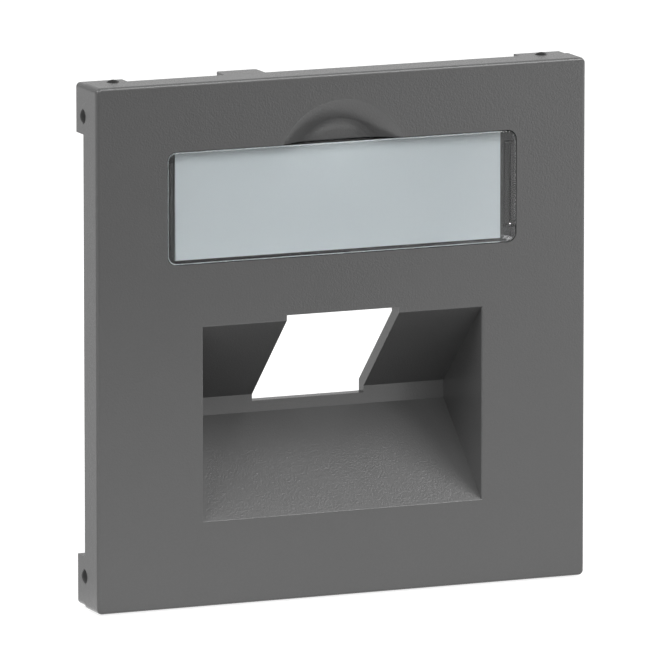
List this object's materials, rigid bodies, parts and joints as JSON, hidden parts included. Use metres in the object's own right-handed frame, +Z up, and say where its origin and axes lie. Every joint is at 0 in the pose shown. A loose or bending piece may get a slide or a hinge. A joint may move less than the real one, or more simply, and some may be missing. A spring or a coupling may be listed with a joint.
{
  "type": "wall plate",
  "caption": "Square centre plate for a data outlet, with a slanted jack recess and a snap-in clear label window with a finger scoop above it.",
  "frame": {"origin": "centre of the plate's square outline, in the plane of the corner posts' rear ends, where the plate sits on the outlet's support frame", "axes": "+X to the right seen from the room, +Y into the wall, +Z up as the plate hangs"},
  "size_m": [0.0706, 0.0136, 0.0705],
  "materials": {
    "anthracite_plastic": "fine-grained matt moulding",
    "clear_plastic": "clear and polished",
    "card": "plain printed card",
    "black_plastic": "smooth black nubs"
  },
  "bodies": {
    "plate_body": {"plate": "anthracite_plastic", "label_card": "card", "nub_top_left_side": "black_plastic", "nub_top_left_end": "black_plastic", "nub_top_right_side": "black_plastic", "nub_top_right_end": "black_plastic", "nub_bottom_left_side": "black_plastic", "nub_bottom_left_end": "black_plastic", "nub_bottom_right_side": "black_plastic", "nub_bottom_right_end": "black_plastic"},
    "window_body": {"label_window": "clear_plastic"}
  },
  "joints": [
    {"name": "label_window_pull", "type": "slide", "parent": "plate_body", "child": "window_body", "axis": [0, -1, 0], "range_m": [0, 0.008]}
  ]
}
